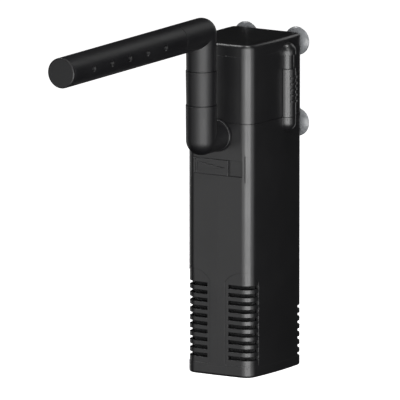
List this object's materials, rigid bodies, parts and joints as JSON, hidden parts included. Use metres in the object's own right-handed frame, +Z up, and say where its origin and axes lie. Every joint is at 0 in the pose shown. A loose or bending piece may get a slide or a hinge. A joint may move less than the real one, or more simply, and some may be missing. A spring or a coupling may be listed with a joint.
{
  "type": "internal power filter",
  "caption": "Upright aquarium filter: slotted canister with sponge and media, latched motor head, jointed outlet tube with a spray bar, suction-cup bracket.",
  "frame": {"origin": "middle of the underside of the base cap", "axes": "+Z up; -Y is the front, where the outlet tube and spray bar point; +Y is the back, towards the glass"},
  "size_m": [0.078, 0.303, 0.2777],
  "materials": {
    "black_casing": "fine satin moulding",
    "black_tube": "smooth satin extrusion",
    "grey_pvc": "soft translucent PVC",
    "dark_sponge": "open-cell filter foam",
    "carbon": "carbon granules in a mesh bag",
    "grey_plastic": "plain moulding",
    "steel_stack": "laminated steel",
    "copper": "enamelled copper wire",
    "resin": "cast epoxy",
    "ferrite": "sintered ferrite",
    "ceramic": "ground ceramic",
    "black_rubber": "nitrile rubber",
    "steel": "stainless steel"
  },
  "bodies": {
    "canister": {"canister_shell": "black_casing", "base_cap": "black_casing", "sponge_block": "dark_sponge", "media_basket": "grey_plastic", "carbon_pack": "carbon", "basket_lid": "grey_plastic"},
    "slider": {"flow_slider": "black_casing", "flow_shutter": "black_casing"},
    "pump_head": {"head_shell": "black_casing", "top_cover": "black_casing", "rotor_well": "grey_plastic", "stator_core": "steel_stack", "coil_bobbins": "grey_plastic", "coil_windings": "copper", "potting_resin": "resin", "cable_gland": "black_rubber", "pump_volute": "black_casing", "volute_oring": "black_rubber", "spigot_oring": "black_rubber", "pump_screws": "steel", "volute_cover": "black_casing", "inlet_strainer": "black_casing", "lower_bush": "black_rubber", "upper_bush": "black_rubber", "impeller_shaft": "ceramic", "outlet_collar": "black_casing", "latch_rail_right": "black_casing", "latch_rail_left": "black_casing"},
    "rotor": {"impeller": "grey_plastic", "rotor_magnet": "ferrite", "thrust_washer": "ceramic"},
    "latch_right": {"latch_slide_right": "black_casing"},
    "latch_left": {"latch_slide_left": "black_casing"},
    "low_elbow": {"lower_elbow": "black_tube"},
    "riser": {"riser_tube": "black_tube"},
    "high_elbow": {"upper_elbow": "black_tube"},
    "bar": {"spray_bar": "black_tube"},
    "end_cap": {"bar_end_cap": "black_tube"},
    "bracket": {"bracket_plate": "black_casing", "suction_cup_upper_right": "grey_pvc", "suction_cup_lower_right": "grey_pvc", "suction_cup_upper_left": "grey_pvc", "suction_cup_lower_left": "grey_pvc"}
  },
  "joints": [
    {"name": "head_lift", "type": "slide", "parent": "canister", "child": "pump_head", "axis": [0, 0, 1], "range_m": [0, 0.06]},
    {"name": "flow_slide", "type": "slide", "parent": "canister", "child": "slider", "axis": [1, 0, 0], "range_m": [0, 0.0118]},
    {"name": "impeller_spin", "type": "hinge", "parent": "pump_head", "child": "rotor", "pos_m": [0, -0.008, 0.185], "axis": [0, 0, 1], "continuous": true},
    {"name": "latch_right_slide", "type": "slide", "parent": "pump_head", "child": "latch_right", "axis": [0, 0, 1], "range_m": [0, 0.0105]},
    {"name": "latch_left_slide", "type": "slide", "parent": "pump_head", "child": "latch_left", "axis": [0, 0, 1], "range_m": [0, 0.0105]},
    {"name": "bracket_slide", "type": "slide", "parent": "pump_head", "child": "bracket", "axis": [0, 0, -1], "range_m": [0, 0.055]},
    {"name": "outlet_swivel", "type": "hinge", "parent": "pump_head", "child": "low_elbow", "pos_m": [0, -0.045, 0.1846], "axis": [0, 1, 0], "range_deg": [-90, 90]},
    {"name": "riser_swivel", "type": "hinge", "parent": "low_elbow", "child": "riser", "pos_m": [0, -0.06, 0.2116], "axis": [0, 0, 1], "range_deg": [-45, 45]},
    {"name": "elbow_swivel", "type": "hinge", "parent": "riser", "child": "high_elbow", "pos_m": [0, -0.06, 0.2378], "axis": [0, 0, 1], "range_deg": [-45, 45]},
    {"name": "bar_roll", "type": "hinge", "parent": "high_elbow", "child": "bar", "pos_m": [0, -0.098, 0.2662], "axis": [0, 1, 0], "range_deg": [-90, 90]},
    {"name": "end_cap_pull", "type": "slide", "parent": "bar", "child": "end_cap", "axis": [0, -1, 0], "range_m": [0, 0.012]}
  ]
}
